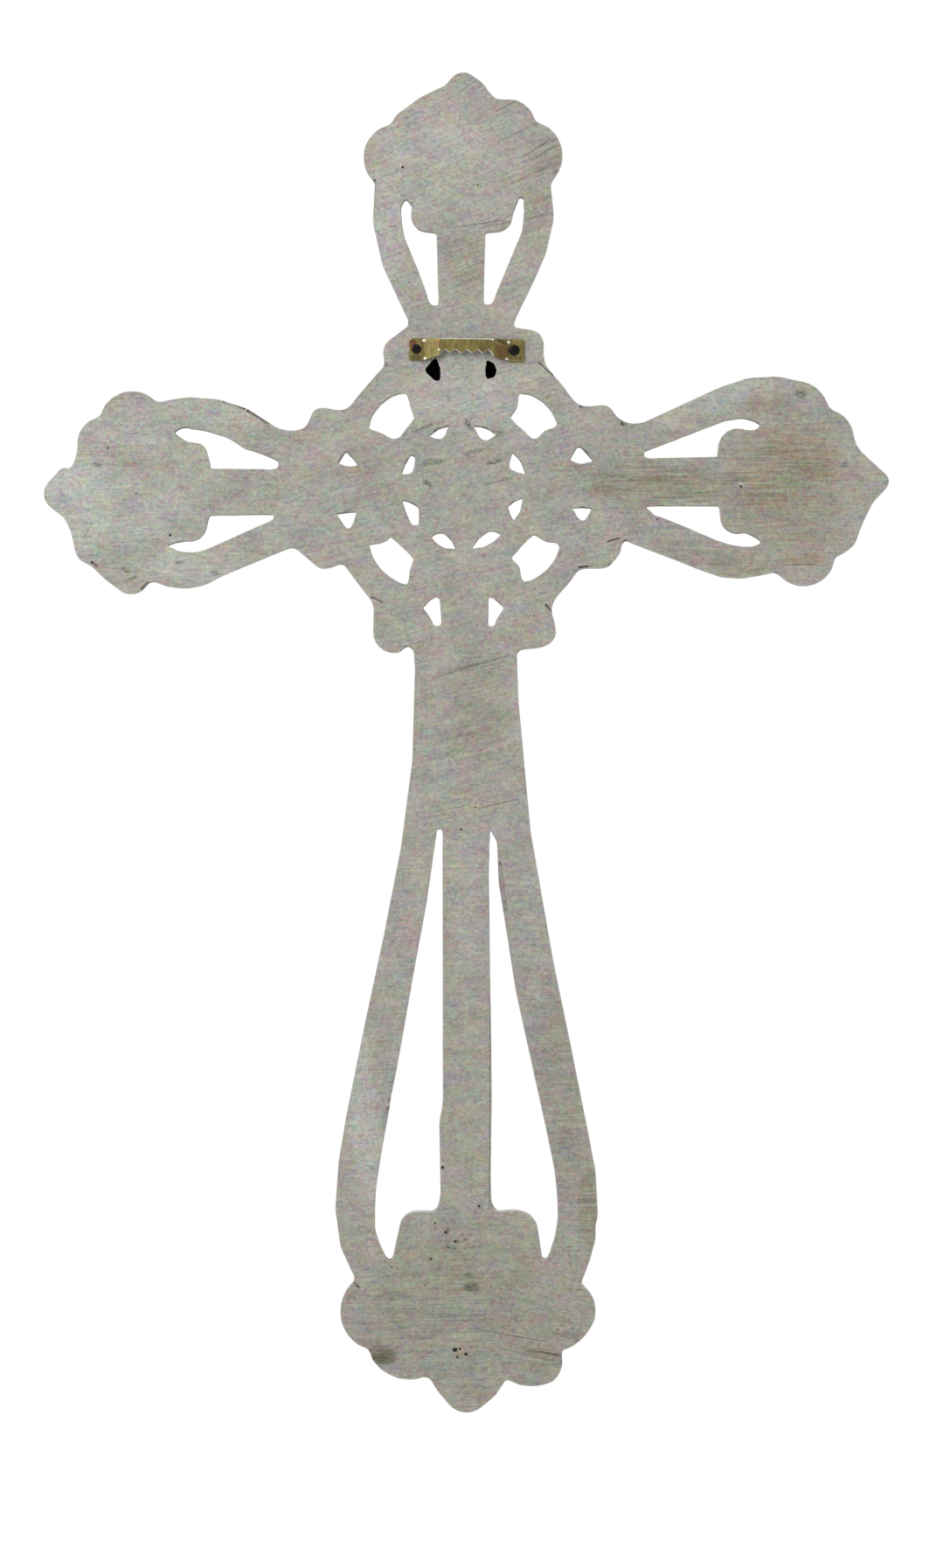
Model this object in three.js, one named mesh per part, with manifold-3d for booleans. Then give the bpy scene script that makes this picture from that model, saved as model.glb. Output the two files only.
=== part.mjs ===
// Openwork wall cross cast in stone-filled resin, with a toothed hanger screwed to its flat sanded back.
// Millimetres. The casting is drawn as seen from the back: u to the right, v up, both from the middle of the
// rosette, and w out of the back towards the wall. The last lines turn that into the part's frame, +Z up.

import * as THREE from "three";
import { mergeVertices } from "three/addons/utils/BufferGeometryUtils.js";
import Module from "manifold-3d";

const wasm = await Module();
wasm.setup();

// Driving dimensions
const HANGER_U = 0.7; // middle of the hanger's raised face, measured from the middle of the rosette
const HANGER_V = 47.85;
const HANGER_TURN = -0.7; // degrees; it was screwed on a little crooked
const STAND_OFF = 2.3; // the raised face stands this far out of the sanded back
const PLATE = 7; // thickness of the casting at its edges
const MOULD = 30; // more than the depth of the mould
const POCKET = 6.2; // depth of the two blind holes under the hanger
const CORNER = 0.5; // how far from a corner its chamfer starts
const ARC_STEP = 20; // degrees of arc to one facet
const SMALL_TURN = 25; // degrees; a corner flatter than this keeps its edge
const RESIN = { color: 0xaca89b, roughness: 0.82, metalness: 0 };
const BRASS = { color: 0xb39a4c, roughness: 0.28, metalness: 1 };
const BLACKED_STEEL = { color: 0x1d1a17, roughness: 0.5, metalness: 0.8 };

// Outlines. Each row is [u, v, rise]: a corner, and how far the arc to the next corner rises from its chord,
// outwards if it is above 0. Every outline runs clockwise.
const TOP_END_RIGHT = [
  [0.5, 139.8, 1], [9.5, 131.6, 0], [12, 130.3, 3], [24, 123, 6.4], [29, 102.8, 1.9], [27.5, 79, 0.3],
  [17.8, 58.3, 0], [16.2, 54, 0], [17, 53.6, 0.3], [24.3, 52.3, 1.1], [26.5, 46, 0], [27.3, 41, 0],
  [33.5, 33.6, -0.4],
];
const RIGHT_END_UPPER = [
  [38.6, 27.6, -0.6], [47, 27.8, 0.5], [51, 24, -1.4], [60.5, 21.9, 0], [86, 33.6, 2.9], [115, 35.2, 0.8],
  [121.3, 30, 0], [123.2, 26.2, 2.1], [131.2, 16.5, -0.5], [134, 11.5, 0],
];
const RIGHT_END_LOWER = [
  [141.5, 4.6, 1.3], [141.6, -0.8, 0], [137.5, -5.3, -0.2], [132.5, -16, 0.8], [129, -21.3, 0.4],
  [124.8, -23.5, 6.4], [106.6, -30, 0], [105.2, -28.5, 0], [100.5, -29.6, 1.9], [80, -28, 0], [55, -18.2, 0],
  [53.9, -17.4, 0], [53, -18.4, 0], [52.4, -22.8, 0], [50.5, -24, 0], [50.1, -25.6, 0], [47.4, -27.3, 0],
];
const SHAFT_RIGHT = [
  [38.8, -27.4, 0.3], [31, -37, -0.4], [29.2, -42, 0.3], [30.6, -47.5, 1.3], [27.5, -53.3, 0.2],
  [24, -54.3, 0], [17.6, -54.9, 0], [18.2, -72, -1.8], [30, -160, 0.1], [41.5, -216.5, 1], [44.9, -245, 0],
  [43.9, -250, 0], [44.4, -252, 0.4], [39.2, -268.4, 2.9], [42.9, -282.3, 1.4],
];
const FOOT = [
  [32.5, -290.9, 1.7], [29.5, -301.3, 1.9], [14, -300.4, 0.9], [5.5, -309.9, 1.8], [-4.5, -309.6, 0.4],
  [-12.3, -299.4, 3.6], [-31.3, -293.5, 0], [-31.9, -290.5, 6],
];
const SHAFT_LEFT = [
  [-39.1, -269.4, 0], [-36.6, -267.2, 1.8], [-43.5, -243, 0.8], [-39.7, -211, 0.2], [-27, -150, -0.9],
  [-17.6, -92, 0], [-16.7, -60, 0], [-17.5, -53.8, 0], [-20.2, -53.3, 0], [-20.7, -55.2, 3.4],
  [-30.8, -48.5, -0.2], [-30.8, -39, 0.1],
];
const LEFT_END_LOWER = [
  [-41, -25.4, 0.1], [-46, -27.3, 0.7], [-50.5, -26, 0], [-57.8, -19.9, 0], [-82, -30, 3.5],
  [-105.8, -31.3, 0], [-108.3, -34.5, 0.8], [-114.5, -35.8, 0.5], [-126, -26.3, 1.3], [-131.3, -20.5, -0.6],
  [-134.7, -10.4, 0],
];
const LEFT_END_UPPER = [
  [-139.4, -6.8, 2], [-139.8, 1.9, 0.2], [-134.5, 7.1, 0], [-132.4, 5.7, 0], [-131.5, 6.6, 0],
  [-131.9, 8.6, 0], [-130.6, 10.2, 0], [-130.2, 16.5, 1.5], [-122.8, 23.7, 6], [-103.5, 28.6, 1.2],
  [-83, 29.6, 1.4], [-64, 20.5, -1.3], [-53.8, 20, -0.2], [-51, 25.3, 0.8], [-46, 26.4, 0],
];
const TOP_END_LEFT = [
  [-40.8, 25.8, -0.5], [-36, 30.5, 0], [-26.8, 41.2, 0.3], [-27.3, 46.7, 0.4], [-24.5, 50, 0],
  [-20.8, 52.9, 0], [-18.4, 55, 0], [-27.7, 75, 1.9], [-30.2, 103.4, 0], [-31.6, 104, 5.4],
  [-25, 122, 0], [-23, 125.2, 0.9], [-6, 135.5, 1.1],
];
const OUTLINE = [
  ...TOP_END_RIGHT, ...RIGHT_END_UPPER, ...RIGHT_END_LOWER, ...SHAFT_RIGHT, ...FOOT,
  ...SHAFT_LEFT, ...LEFT_END_LOWER, ...LEFT_END_UPPER, ...TOP_END_LEFT,
];

// The gap on each side of each arm's bar, between the bar, the bowed strap and the two round calyx lobes
const STRAP_GAPS = [
  [[-11.4, 61.4, -0.3], [-20, 83.5, 0.4], [-21.4, 94, 0.3], [-19.8, 97.3, 0.2], [-17.6, 94.3, -2.1],
    [-13.8, 86.1, 0], [-9.4, 85.8, 0], [-8.8, 61.2, 0.4]],
  [[6.5, 61.5, 0], [7, 85.8, 0], [11, 86.1, -1.7], [16.3, 92, 0], [18.3, 97.4, 0.6], [20, 97, 0.3],
    [19.3, 86, 0], [9.3, 61.9, 0.4]],
  [[-98, 18.4, 0.7], [-93, 19.9, 0.5], [-80, 16.7, 0.2], [-74.5, 13.1, 0.3], [-63.6, 9.2, 1],
    [-63.4, 6, 0], [-85.6, 6.2, -0.2], [-86.6, 11.2, -1.2], [-91, 14.9, 0], [-93.5, 15.3, 0]],
  [[-100.4, -19.7, 0.3], [-94, -18.2, -2.2], [-86.7, -12.5, 0], [-86.1, -9.5, 0], [-64.7, -9.2, 0.6],
    [-64.8, -11.1, 0], [-85.5, -20.4, 2]],
  [[60.4, 11.9, 0], [83, 20.5, 0.6], [93.5, 23.2, 0.4], [99.8, 21.2, 0.4], [97.5, 19.3, 0],
    [95, 19.1, -3.2], [85.4, 13, 0], [85.3, 10.2, 0], [61.3, 9.7, 0.3]],
  [[60.9, -6.9, 0.2], [62.8, -6.3, 0], [86, -6.3, 0], [86.2, -10.5, -2.3], [94.5, -15.2, 0.1],
    [99.7, -17.9, 0.3], [99.3, -19.3, 0.2], [94, -20.1, 0.4], [84.5, -17.8, -0.2], [63.5, -9.1, 0]],
  [[-9.3, -115.2, 0.4], [-7.4, -115.2, 0], [-7.3, -207, 0], [-8.5, -214, 0], [-8.1, -238, 0],
    [-8.9, -242.5, 0], [-10.3, -244.1, -0.3], [-17.5, -244, -1.2], [-22, -249.5, 0], [-24.3, -259.8, 0.5],
    [-26.3, -259.8, 0.3], [-30.2, -250, 0.1], [-29.8, -236, 0.2], [-25.3, -209.5, 0], [-24.8, -205.5, 0],
    [-22.8, -196, 0.1], [-12.6, -139, 0]],
  [[8.6, -115, 0], [10.9, -119, 0], [11.5, -133, 0], [14.5, -152, 0], [17.2, -169.5, 0], [21.7, -190, 0],
    [25, -205, 0.1], [30.2, -229.5, 0.3], [31.5, -246, 0.6], [28.2, -259.7, 0.4], [26.2, -259.7, 0], [24.9, -251, -2.3],
    [17, -243.3, -0.3], [11, -244.1, 0], [9.1, -241.3, 0], [8.8, -232, 0], [9.2, -205, 0], [8.2, -130, 0]],
];
// The four windows between the rosette and the ring
const RING_WINDOWS = [
  [[-32.4, 19.7, 3], [-20.2, 31.9, 0], [-19.3, 31.4, -0.3], [-16.8, 23.3, 0], [-22.2, 16.4, 0],
    [-24, 16.1, 0], [-28.2, 18.3, 0]],
  [[18.4, 31.9, 2.6], [31.2, 21.6, 0.2], [30.2, 20, 0], [27.3, 19.3, 0], [24.8, 16.8, 0], [23.3, 15.9, 0],
    [15.2, 23.3, 0], [17.7, 26.5, 0]],
  [[-32.3, -19.3, 0], [-28, -19, -0.3], [-24.9, -16.5, 0], [-17, -24.1, 0], [-18.5, -28, 0],
    [-19, -32.2, 0.4], [-20.5, -32.6, 2.4]],
  [[23.4, -15.8, 0], [27.4, -18.4, 0], [31.2, -18.6, 0], [32.2, -20, 2.3], [20.3, -32, 0.2],
    [19.2, -30.8, 0], [18.7, -27, 0], [15.6, -23.9, 0], [19.9, -19.2, 0]],
];
// The small three-cornered hole on each side of a bar, inside the collars. The pair under the hanger is blind.
const COLLAR_POCKETS = [
  [[-13.5, 39.1, 0], [-9.8, 43.6, 0], [-8.7, 41.9, 0], [-8.2, 36.2, 0.3], [-9.5, 35.7, 0]],
  [[7.3, 42.3, 0.3], [8.9, 42, 0], [11.1, 39.2, 0], [9.1, 36.5, 0], [7.3, 36.2, 0]],
];
const COLLAR_HOLES = [
  [[-42.8, 7.8, 0], [-40.4, 11.8, 0.2], [-39.4, 11.6, 0], [-35.8, 7.4, 0.2], [-38.5, 6.9, 0]],
  [[-43.3, -8.8, 0], [-36.2, -8.3, 0], [-38.3, -13.8, 0.4], [-40.1, -13.4, 0]],
  [[35.4, 8.9, 0], [37.9, 13.4, 0.2], [39.4, 13.5, 0], [43.2, 9.4, 0.3], [42, 8.3, 0], [38.5, 8, 0]],
  [[36, -7, 0], [43, -6.8, 0.2], [40.6, -11, 0.3], [39, -11, 0]],
  [[-14.1, -40.6, 0.3], [-9.8, -37, 0.3], [-8.4, -37.8, 0], [-7.8, -46, 0.6], [-10.4, -46.4, 0],
    [-11.6, -43.6, 0]],
  [[8.1, -37, 0], [9.3, -37, 0], [13.4, -40.4, 0.2], [10.9, -44, 0], [10.2, -46.4, 0.6], [8, -46.4, 0]],
];
// The eight slots round the rosette
const ROSETTE_SLOTS = [
  [[-12.1, 17.2, 0.7], [-5, 20.9, 0], [-7.4, 16.3, 0.5]],
  [[2.9, 20.7, 0.8], [10.8, 17.7, 0.4], [6.4, 15.5, 0.3]],
  [[-21.3, 4.4, 0.3], [-18.2, 10.8, 0.3], [-16.6, 9.9, 0.3], [-17.8, 4.8, 0.4]],
  [[-21.1, -4.2, 0.3], [-15.4, -6.8, 0], [-15.4, -12.9, 0.2], [-17.8, -12.7, 0.2]],
  [[15, 6.2, 0.2], [16.2, 11.9, 0.8], [20.7, 4, 0]],
  [[14.5, -6.7, 0.4], [19.7, -3.5, 0.7], [16.6, -11.5, 0]],
  [[-11.3, -16.9, 0.7], [-6.6, -15.7, 0.5], [-2.9, -21, 1.2]],
  [[2.3, -20.9, 0.7], [8.2, -14.8, 0.4], [12.4, -16, 1.2]],
];

// Carving on the front. s runs out along an arm from the middle and t across it. Each rib, leaf and bud of an
// arm stands on both sides of its bar, and spread widens the straps and outer leaves on one side or the other.
// A leaf is [s and t of its root, s and t of its tip, width, height].
const SHORT_ARM = {
  barEnd: 104,
  strap: [[53, 13], [70, 19], [86, 24.7], [103, 25.5]],
  calyx: { s: 92, t: 10.5, radius: 6, height: 4.5 },
  crown: [102, 0, 138, 0, 15, 6.5],
  inner: [107, 5, 127.5, 20, 12.5, 5.8],
  outer: [103, 6, 113, 32, 14, 4.8],
};
const LONG_ARM = {
  barEnd: 266,
  strap: [[60, 13], [115, 15.5], [150, 21], [190, 28.8], [216, 34], [240, 37.4], [262, 35.5]],
  calyx: { s: 251.5, t: 14.5, radius: 7.2, height: 5 },
  crown: [263, 0, 309, 0, 18, 7],
  inner: [270, 6, 299, 24, 16, 6],
  outer: [264, 9, 278, 40.5, 17, 5],
};
const ARMS = [
  // turned anticlockwise from the top arm by so many degrees, with the spread on its two sides
  { arm: SHORT_ARM, turn: 0, spread: [1, 0.98] },
  { arm: SHORT_ARM, turn: 90, spread: [1.1, 0.98] },
  { arm: LONG_ARM, turn: 180, spread: [1, 0.97] },
  { arm: SHORT_ARM, turn: 270, spread: [1.12, 1] },
];
const BAR = { start: 27, width: 11, height: 4.2 };
const STRAP = { width: 7, height: 3.2 };
const COLLAR_BUD = { s: 46.5, t: 20.5, radius: 5.3, height: 4.6 };
const RING = { radius: 42.6, width: 7, height: 3.8, facets: 36 };
const ROSETTE_RING = { radius: 23.6, width: 5, height: 3.8, facets: 28 };
const ROSETTE_LEAF = [4, 0, 17, 0, 8.4, 3.6];
const ROSETTE_LEAVES = 8;
// The boss as turned: [distance from its axis, height above the plate]
const BOSS = [[0, -1], [6.5, -1], [6.5, 4.4], [5.2, 7.4], [2.8, 9.2], [0, 9.8]];

// The hanger is a bent steel strip with teeth under its raised middle. v is measured from the middle of the
// raised face above the teeth.
const HANGER = { length: 38.6, middle: 18.4, ramp: 4.9, top: 1.85, bottom: -5.55, rampFoot: -4 };
const TOOTH = { root: -1.85, tip: -3.15 };
const TEETH = 5;
const GAUGE = 0.7; // thickness of the strip
const GAP = 0.3; // between pieces that touch
const SCREWS = { left: -16.9, right: 16 }; // along the strip
const SCREW_V = -1.8;
const HEAD = { radius: 1.7, height: 0.85 };
const SHANK = { radius: 0.85, length: 7 };
const SCREW_FACETS = 14;

// Points of a closed outline: arcs between its corners, and a small chamfer on each sharp corner.
function outlinePoints(corners) {
  const line = [];
  corners.forEach(([u, v, rise], i) => {
    const start = new THREE.Vector2(u, v);
    const [endU, endV] = corners[(i + 1) % corners.length];
    const chord = new THREE.Vector2(endU, endV).sub(start);
    line.push({ at: start, corner: true });
    if (rise === 0) return;
    const half = chord.length() / 2;
    const sweep = 4 * Math.atan(rise / half);
    const steps = Math.max(2, Math.ceil(Math.abs(THREE.MathUtils.radToDeg(sweep)) / ARC_STEP));
    const radius = half / Math.sin(sweep / 2);
    for (let k = 1; k < steps; k++) {
      const turned = (sweep * k) / steps;
      const along = (radius * (Math.sin(sweep / 2) - Math.sin(sweep / 2 - turned))) / (2 * half);
      const out = radius * (Math.cos(sweep / 2 - turned) - Math.cos(sweep / 2));
      const side = new THREE.Vector2(-chord.y, chord.x).normalize().multiplyScalar(out);
      line.push({ at: start.clone().addScaledVector(chord, along).add(side), corner: false });
    }
  });
  return line.flatMap(({ at, corner }, i) => {
    const before = line[(i + line.length - 1) % line.length].at.clone().sub(at);
    const after = line[(i + 1) % line.length].at.clone().sub(at);
    const turn = 180 - THREE.MathUtils.radToDeg(before.angleTo(after));
    if (!corner || turn < SMALL_TURN) return [at];
    const reach = Math.min(CORNER, 0.4 * before.length(), 0.4 * after.length());
    return [before, after].map((edge) => at.clone().addScaledVector(edge.normalize(), reach));
  });
}

// A closed geometry as a solid, and a solid as a geometry
function solidOf(geometry) {
  const bare = geometry.clone();
  bare.deleteAttribute("normal");
  bare.deleteAttribute("uv");
  const merged = mergeVertices(bare, 1e-4);
  const triVerts = [];
  for (let i = 0; i < merged.index.count; i += 3) {
    const [a, b, c] = merged.index.array.slice(i, i + 3);
    if (a !== b && b !== c && c !== a) triVerts.push(a, b, c); // the poles of a turned shape have no area
  }
  const vertProperties = new Float32Array(merged.attributes.position.array);
  return new wasm.Manifold(new wasm.Mesh({ numProp: 3, vertProperties, triVerts: new Uint32Array(triVerts) }));
}

function geometryOf(solid) {
  const mesh = solid.getMesh();
  const geometry = new THREE.BufferGeometry();
  geometry.setAttribute("position", new THREE.BufferAttribute(mesh.vertProperties, 3));
  geometry.setIndex(new THREE.BufferAttribute(mesh.triVerts, 1));
  geometry.computeVertexNormals();
  return geometry;
}

// A block of each outline's shape, from its back end at w = high down to w = high - depth
function block(outlines, high, depth) {
  const shapes = outlines.map((corners) => new THREE.Shape(outlinePoints(corners)));
  const geometry = new THREE.ExtrudeGeometry(shapes, { depth, bevelEnabled: false, steps: 1 });
  return geometry.translate(0, 0, high - depth);
}

// A round bud standing on the plate's front; its other half is buried in the plate.
function bud({ s, t, radius, height }) {
  const geometry = new THREE.SphereGeometry(1, 10, 6).rotateX(Math.PI / 2);
  return geometry.scale(radius, radius, height).translate(t, s, -PLATE);
}

// A leaf: a spindle turned about its midrib, flattened to its height and laid from root to tip.
function leaf([rootS, rootT, tipS, tipT, width, height]) {
  const midrib = new THREE.Vector2(tipT - rootT, tipS - rootS);
  const fullness = [[0, 0], [0.18, 0.58], [0.42, 0.93], [0.68, 1], [0.88, 0.68], [1, 0]];
  const profile = fullness.map(([x, y]) => new THREE.Vector2((y * width) / 2, x * midrib.length()));
  const geometry = new THREE.LatheGeometry(profile, 8).scale(1, 1, (2 * height) / width);
  return geometry.rotateZ(midrib.angle() - Math.PI / 2).translate(rootT, rootS, -PLATE);
}

// A half-round rib along a smooth curve through these points
function rib(points, { width, height }, steps) {
  const curve = new THREE.CatmullRomCurve3(points.map(([s, t]) => new THREE.Vector3(t, s, -PLATE)));
  const section = new THREE.Shape().absellipse(0, 0, height, width / 2, 0, 2 * Math.PI);
  return new THREE.ExtrudeGeometry(section, { extrudePath: curve, steps, curveSegments: 4 });
}

// A half-round ring round the middle
function roundRing({ radius, width, height, facets }) {
  const profile = [0, 60, 120, 180, 240, 300, 360].map((degrees) => {
    const angle = THREE.MathUtils.degToRad(degrees % 360);
    return new THREE.Vector2(radius + (width / 2) * Math.cos(angle), height * Math.sin(angle));
  });
  return new THREE.LatheGeometry(profile, facets).rotateX(Math.PI / 2).translate(0, 0, -PLATE);
}

function boss() {
  const profile = BOSS.map(([r, h]) => new THREE.Vector2(r, h));
  return new THREE.LatheGeometry(profile, 14).rotateX(-Math.PI / 2).translate(0, 0, -PLATE);
}

// The carving of one arm, drawn with the arm upright
function armCarving({ arm, spread }) {
  const carving = [rib([[BAR.start, 0], [arm.barEnd, 0]], BAR, 1), leaf(arm.crown)];
  [-1, 1].forEach((side, i) => {
    const strap = arm.strap.map(([s, t]) => [s, side * t * spread[i]]);
    const sided = ([rootS, rootT, tipS, tipT, width, height]) =>
      [rootS, side * rootT, tipS, side * tipT, width, height];
    const outer = sided(arm.outer);
    outer[3] *= spread[i];
    carving.push(rib(strap, STRAP, 2 * strap.length), leaf(sided(arm.inner)), leaf(outer));
    carving.push(bud({ ...arm.calyx, t: side * arm.calyx.t }), bud({ ...COLLAR_BUD, t: side * COLLAR_BUD.t }));
  });
  return carving;
}

// Where a screw stands, on the strip as it is turned
function screwPlace(along) {
  const turn = THREE.MathUtils.degToRad(HANGER_TURN);
  return new THREE.Vector2(along, SCREW_V).rotateAround(new THREE.Vector2(), turn)
    .add(new THREE.Vector2(HANGER_U, HANGER_V));
}

// A round bar standing on w, from w = low upwards
function roundBar(place, radius, low, length, facets = SCREW_FACETS) {
  const geometry = new THREE.CylinderGeometry(radius, radius, length, facets).rotateX(Math.PI / 2);
  return geometry.translate(place.x, place.y, low + length / 2);
}

function casting() {
  const pieces = [roundRing(RING), roundRing(ROSETTE_RING), boss()];
  for (let i = 0; i < ROSETTE_LEAVES; i++) {
    pieces.push(leaf(ROSETTE_LEAF).rotateZ((2 * Math.PI * i) / ROSETTE_LEAVES));
  }
  for (const row of ARMS) {
    for (const piece of armCarving(row)) pieces.push(piece.rotateZ(THREE.MathUtils.degToRad(row.turn)));
  }
  const plate = solidOf(block([OUTLINE], 0, PLATE));
  const openings = [...STRAP_GAPS, ...RING_WINDOWS, ...COLLAR_HOLES, ...ROSETTE_SLOTS];
  const depth = SHANK.length + GAP;
  // Nothing hangs over the outline or into an opening, because the mould pulls straight off the front.
  const carved = pieces
    .reduce((sum, piece) => sum.add(solidOf(piece)), plate)
    .intersect(solidOf(block([OUTLINE], 0, MOULD)))
    .subtract(solidOf(block(openings, GAP, MOULD)))
    .subtract(solidOf(block(COLLAR_POCKETS, GAP, POCKET + GAP)));
  const bored = Object.values(SCREWS).reduce((sum, along) => {
    return sum.subtract(solidOf(roundBar(screwPlace(along), SHANK.radius + GAP, GAP - depth, depth + GAP)));
  }, carved);
  return geometryOf(bored);
}

// The strip's face, with the teeth cut into its lower edge
function hangerFace() {
  const half = HANGER.length / 2;
  const tooth = HANGER.middle / TEETH;
  const lower = [[half, HANGER.bottom], [HANGER.middle / 2 + HANGER.ramp, HANGER.bottom]];
  for (let i = 0; i <= TEETH; i++) {
    const u = HANGER.middle / 2 - i * tooth;
    lower.push([u, i % TEETH ? TOOTH.tip : HANGER.rampFoot]);
    if (i < TEETH) lower.push([u - tooth / 2, TOOTH.root]);
  }
  lower.push([-HANGER.middle / 2 - HANGER.ramp, HANGER.bottom], [-half, HANGER.bottom]);
  const corners = [[-half, HANGER.top], [half, HANGER.top], ...lower];
  const shape = new THREE.Shape(corners.map(([u, v]) => new THREE.Vector2(u, v)));
  return new THREE.ExtrudeGeometry(shape, { depth: STAND_OFF + 1, bevelEnabled: false, steps: 1 });
}

// The strip as bent: two tabs on the back, two ramps and the raised middle
function hangerBend() {
  const high = STAND_OFF;
  const low = GAP + GAUGE;
  const outer = [[HANGER.length / 2 + 1, low], [HANGER.middle / 2 + HANGER.ramp, low], [HANGER.middle / 2, high]];
  const inner = outer.map(([u, w]) => [u, w - GAUGE]).reverse();
  const mirrored = (points) => points.map(([u, w]) => [-u, w]).reverse();
  const corners = [...outer, ...mirrored(outer), ...mirrored(inner), ...inner];
  const shape = new THREE.Shape(corners.map(([u, w]) => new THREE.Vector2(u, w)));
  const width = 2 * (HANGER.top - HANGER.bottom);
  const geometry = new THREE.ExtrudeGeometry(shape, { depth: width, bevelEnabled: false, steps: 1 });
  return geometry.rotateX(Math.PI / 2).translate(0, width / 2, 0);
}

function hanger() {
  const strip = solidOf(hangerFace()).intersect(solidOf(hangerBend()));
  const bored = Object.values(SCREWS).reduce((sum, along) => {
    const place = new THREE.Vector2(along, SCREW_V);
    return sum.subtract(solidOf(roundBar(place, SHANK.radius + GAP, 0, STAND_OFF)));
  }, strip);
  return geometryOf(bored);
}

// A screw with a low round head, its shank through the strip into the casting
function screw(along) {
  const under = GAP + GAUGE + GAP;
  const profile = [
    [0, under - SHANK.length], [SHANK.radius, under - SHANK.length + 1], [SHANK.radius, under],
    [HEAD.radius, under], [HEAD.radius * 0.92, under + HEAD.height * 0.5],
    [HEAD.radius * 0.55, under + HEAD.height * 0.9], [0, under + HEAD.height],
  ].map(([r, w]) => new THREE.Vector2(r, w));
  const place = screwPlace(along);
  return new THREE.LatheGeometry(profile, SCREW_FACETS).rotateX(Math.PI / 2).translate(place.x, place.y, 0);
}

function named(name, geometry, look) {
  const mesh = new THREE.Mesh(geometry, new THREE.MeshStandardMaterial(look));
  mesh.name = name;
  return mesh;
}

// As drawn from the back: the hanger's raised face at the origin
const fromBack = new THREE.Group();
fromBack.position.set(-HANGER_U, -HANGER_V, -STAND_OFF);
fromBack.add(named("cast_cross", casting(), RESIN));
const strip = named("sawtooth_hanger", hanger(), BRASS);
strip.position.set(HANGER_U, HANGER_V, 0);
strip.rotation.z = THREE.MathUtils.degToRad(HANGER_TURN);
fromBack.add(strip);
for (const [side, along] of Object.entries(SCREWS)) {
  fromBack.add(named(`hanger_screw_${side}`, screw(along), BLACKED_STEEL));
}

// Stood up: u to -X, v to +Z, w to +Y
const cross = new THREE.Group();
cross.add(fromBack);
cross.rotation.set(Math.PI / 2, Math.PI, 0);

export default cross;
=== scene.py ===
import math

import bmesh
import bpy
from mathutils import Matrix, Vector, bvhtree, kdtree, noise


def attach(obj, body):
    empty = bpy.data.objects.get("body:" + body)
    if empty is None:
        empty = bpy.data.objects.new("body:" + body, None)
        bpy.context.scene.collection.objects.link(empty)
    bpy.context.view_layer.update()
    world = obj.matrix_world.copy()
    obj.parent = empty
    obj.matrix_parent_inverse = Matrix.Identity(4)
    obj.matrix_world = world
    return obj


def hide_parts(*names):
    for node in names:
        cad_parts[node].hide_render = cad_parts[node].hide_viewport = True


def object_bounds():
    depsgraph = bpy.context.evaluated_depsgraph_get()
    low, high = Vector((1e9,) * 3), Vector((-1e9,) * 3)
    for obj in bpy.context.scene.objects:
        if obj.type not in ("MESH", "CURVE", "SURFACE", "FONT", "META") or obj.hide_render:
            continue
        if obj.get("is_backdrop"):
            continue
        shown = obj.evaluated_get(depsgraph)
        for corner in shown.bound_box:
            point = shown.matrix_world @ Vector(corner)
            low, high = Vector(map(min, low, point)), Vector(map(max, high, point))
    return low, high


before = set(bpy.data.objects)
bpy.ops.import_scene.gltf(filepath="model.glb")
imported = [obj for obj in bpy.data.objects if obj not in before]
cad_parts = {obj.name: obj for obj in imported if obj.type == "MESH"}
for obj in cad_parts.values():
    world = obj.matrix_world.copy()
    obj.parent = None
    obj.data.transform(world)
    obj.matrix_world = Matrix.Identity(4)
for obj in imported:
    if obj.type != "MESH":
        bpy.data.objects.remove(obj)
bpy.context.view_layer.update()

scene = bpy.context.scene

# The casting: the whole openwork cross, poured in one go in stone-filled resin in a rubber mould that
# lies face down. Its open back was then sanded flat on a belt, so the back is bare and sharp-edged,
# while the front and the sides keep the soft skin of the mould under a thin grey paint.
HANGER_U, HANGER_V, HANGER_W = 0.7, 47.85, 2.3  # the part's origin in millimetres, as at() measures
BACK = -0.0023  # the sanded face, in metres
SPARE = 0.002  # what the belt takes off
SKIN = 0.001  # grain of the moulded skin
MERGE = 1e-6  # points nearer than this are one
ON_BACK = 1e-5  # points nearer the sanded face than this are on it
RIM_SLOPE = 0.0002  # how far the sides lean in at the back
STRAIGHT_OUT = 0.9  # a direction with this much of it along y runs straight out of the back
CORNER_TURN = math.radians(38)  # a sharper turn of the outline is a corner
BARE, PAINTED, DARK_AND_SHADED, BLACK = range(4)  # the casting's four finishes


def at(u, v, w=0.0):
    """A point in millimetres as the cross is seen from the back, measured from the middle of the rosette:
    u to the right, v up and w out of the sanded face."""
    return Vector((HANGER_U - u, w - HANGER_W, v - HANGER_V)) / 1000


def seen(point):
    """The u, v and w of a point of the part."""
    return HANGER_U - 1000 * point.x, HANGER_V + 1000 * point.z, HANGER_W + 1000 * point.y


def upright(edge):
    """Whether an edge runs straight from the back to the front."""
    return abs((edge.verts[0].co - edge.verts[1].co).normalized().y) > STRAIGHT_OUT


def finished(piece):
    """Makes the piece's modifiers part of its mesh."""
    solid = bpy.data.meshes.new_from_object(piece.evaluated_get(bpy.context.evaluated_depsgraph_get()))
    piece.modifiers.clear()
    piece.data = solid


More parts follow.
